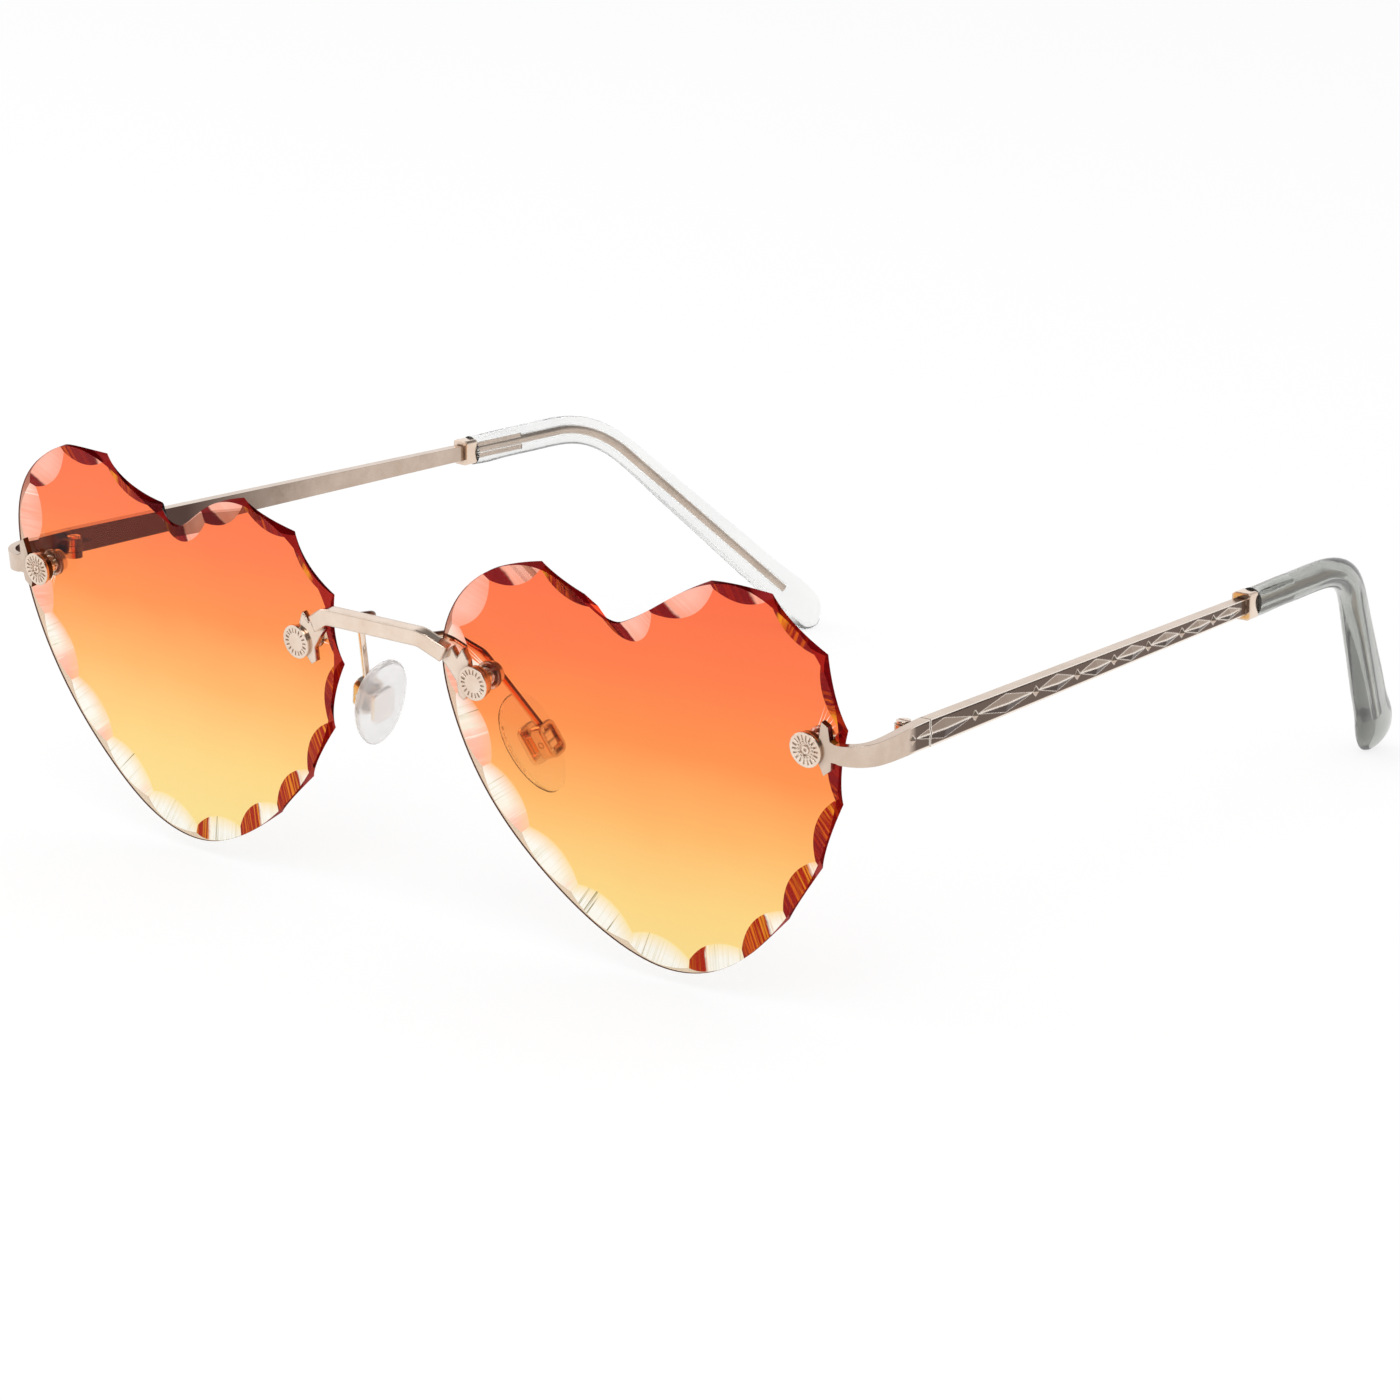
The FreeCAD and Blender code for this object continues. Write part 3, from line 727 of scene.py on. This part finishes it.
def bead_ring(side, material):
    """Ring of small beads on the face of the outer lens screw, inside its notches."""
    sign = SIDES[side]
    outward, up, front = lens_axes(sign)
    middle = mirrored(LENS_ORIGIN, sign) + front * HEAD_LEVEL
    bm = bmesh.new()
    for i in range(BEAD_COUNT):
        angle = 2 * math.pi * i / BEAD_COUNT
        place = middle + (outward * math.cos(angle) + up * math.sin(angle)) * BEAD_RING
        bead = bmesh.ops.create_icosphere(bm, subdivisions=2, radius=BEAD_RADIUS)
        bmesh.ops.translate(bm, verts=bead["verts"], vec=place)
    name = "bead_ring_" + side
    piece = add_piece(name, smooth_mesh(name, bm), material)
    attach(piece, "front")


# Each dark value is the depth of the painted shade in that plating's corners
gold = pale_gold("rose_gold", edge=0.3 * MM)
screw_gold = pale_gold("screw_gold", edge=0.2 * MM, dark=0.12)
bridge_gold = pale_gold("bridge_gold", edge=0.45 * MM)
arm_gold = wire_gold()
relief_gold = temple_gold()
insert_gold = pale_gold("insert_gold", edge=0.4 * MM, low=INSERT_LOW, high=INSERT_HIGH, dark=0.1)
box_gold = pale_gold("box_gold", edge=0.3 * MM, dark=0.1)
sleeve_clear = clear_plastic("sleeve_clear", **SLEEVE_LOOK)
FINISHES = {
    "endpiece": relief_gold,
    "endpiece_screw": screw_gold,
    "endpiece_nut": gold,
    "endpiece_bushing": sleeve_clear,
    "endpiece_washer": sleeve_clear,
    "bridge_screw": screw_gold,
    "bridge_nut": gold,
    "bridge_bushing": sleeve_clear,
    "bridge_washer": sleeve_clear,
    "hinge_screw": gold,
    "temple_bar": relief_gold,
    "temple_collar": gold,
    "pad_arm": arm_gold,
    "pad_box": box_gold,
    "pad_screw": gold,
    "pad_core": insert_gold,
}
assign(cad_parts["bridge"], bridge_gold)
for side in SIDES:
    for kind, finish in FINISHES.items():
        assign(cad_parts[kind + "_" + side], finish)
    tip_clear = clear_plastic("tip_clear_" + side, **TIP_LOOKS[side])
    assign(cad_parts["temple_tip_" + side], tip_clear)
    lens_piece(side)
    pad_piece(side, clear_plastic("pad_clear_" + side, **PAD_LOOKS[side]))
    bead_ring(side, gold)


# Stage: pale floor, soft light and the camera

FLOOR_SIZE = 6.0
FLOOR_TONE = 0.96
# Share of its shadows that the floor shows
FLOOR_KEEP = 0.2
SOFT_LIGHT = 0.75
# In mirrors the room dims from white, by how far a direction leans this way
ROOM_SIDE = (0.2, -0.35, 0.9)
ROOM_START = 0.05
ROOM_FULL = 0.35
ROOM_TONE = 0.2
LAMPS = {
    "key": dict(place=(0.5, -0.6, 0.9), size=0.7, power=5.0),
    "fill": dict(place=(-0.8, -0.2, 0.6), size=0.9, power=3.0),
}
LAMP_AIM = (0, 0.03, 0)
CAMERA_AZIMUTH = math.radians(40.18)
CAMERA_ELEVATION = math.radians(15.86)
CAMERA_TARGET = (28.04 * MM, 21.58 * MM, -5.66 * MM)
CAMERA_REACH = 567.4 * MM
CAMERA_LENS = 123.4
CAMERA_SENSOR = 36.0
CAMERA_NEAR = 0.01


def seen_mask(nodes):
    """1 for rays from the camera, mirrors and glass."""
    path = nodes.add("LightPath").outputs
    direct = nodes.math("MAXIMUM", path["Is Camera Ray"], path["Is Glossy Ray"])
    return nodes.math("MAXIMUM", direct, path["Is Transmission Ray"])


def make_floor(level):
    half = FLOOR_SIZE / 2
    corners = [(-half, -half), (half, -half), (half, half), (-half, half)]
    mesh = bpy.data.meshes.new("floor")
    mesh.from_pydata([(x, y, level) for x, y in corners], [], [(0, 1, 2, 3)])
    floor = bpy.data.objects.new("floor", mesh)
    scene.collection.objects.link(floor)
    material = bpy.data.materials.new("floor")
    material.use_nodes = True
    nodes = Nodes(material.node_tree)
    nodes.tree.nodes.remove(nodes.tree.nodes["Principled BSDF"])
    diffuse = nodes.add("BsdfDiffuse", {"Color": grey(FLOOR_TONE)})
    glow = nodes.add("Emission", {"Color": WHITE})
    bright = nodes.math("MULTIPLY", seen_mask(nodes), 1 - FLOOR_KEEP)
    both = nodes.add("MixShader", {0: bright, 1: diffuse.outputs[0], 2: glow.outputs[0]})
    nodes.feed(nodes.tree.nodes["Material Output"].inputs["Surface"], both.outputs[0])
    mesh.materials.append(material)


def make_world():
    """White round the object; the room above and in front of it is dimmer in mirrors."""
    world = bpy.data.worlds.new("studio")
    scene.world = world
    world.use_nodes = True
    nodes = Nodes(world.node_tree)
    soft = nodes.tree.nodes["Background"]
    nodes.feed(soft.inputs["Color"], WHITE)
    nodes.feed(soft.inputs["Strength"], SOFT_LIGHT)
    ahead = nodes.dot(nodes.add("TexCoord").outputs["Generated"], ROOM_SIDE)
    room = nodes.ramp(ahead, [(ROOM_START, WHITE), (ROOM_FULL, grey(ROOM_TONE))])
    in_mirror = nodes.add("LightPath").outputs["Is Glossy Ray"]
    seen = nodes.add("Background", {"Color": nodes.mix(in_mirror, WHITE, room), "Strength": 1.0})
    both = nodes.add("MixShader", {
        0: seen_mask(nodes), 1: soft.outputs[0], 2: seen.outputs[0]})
    nodes.feed(nodes.tree.nodes["World Output"].inputs["Surface"], both.outputs[0])


def make_lamp(name, place, size, power):
    lamp = bpy.data.lights.new(name, "AREA")
    lamp.size = size
    lamp.energy = power
    obj = bpy.data.objects.new(name, lamp)
    obj.location = place
    obj.rotation_euler = (Vector(LAMP_AIM) - Vector(place)).to_track_quat("-Z", "Y").to_euler()
    scene.collection.objects.link(obj)


def make_camera():
    level = math.cos(CAMERA_ELEVATION)
    away = Vector((math.sin(CAMERA_AZIMUTH) * level, -math.cos(CAMERA_AZIMUTH) * level,
                   math.sin(CAMERA_ELEVATION)))
    camera = bpy.data.cameras.new("camera")
    camera.sensor_width = CAMERA_SENSOR
    camera.lens = CAMERA_LENS
    camera.clip_start = CAMERA_NEAR
    obj = bpy.data.objects.new("camera", camera)
    obj.location = Vector(CAMERA_TARGET) + away * CAMERA_REACH
    obj.rotation_euler = (-away).to_track_quat("-Z", "Y").to_euler()
    scene.collection.objects.link(obj)
    scene.camera = obj


make_floor(cad_box[0][2])
make_world()
for name, lamp in LAMPS.items():
    make_lamp(name, **lamp)
make_camera()
scene.view_settings.view_transform = "Standard"
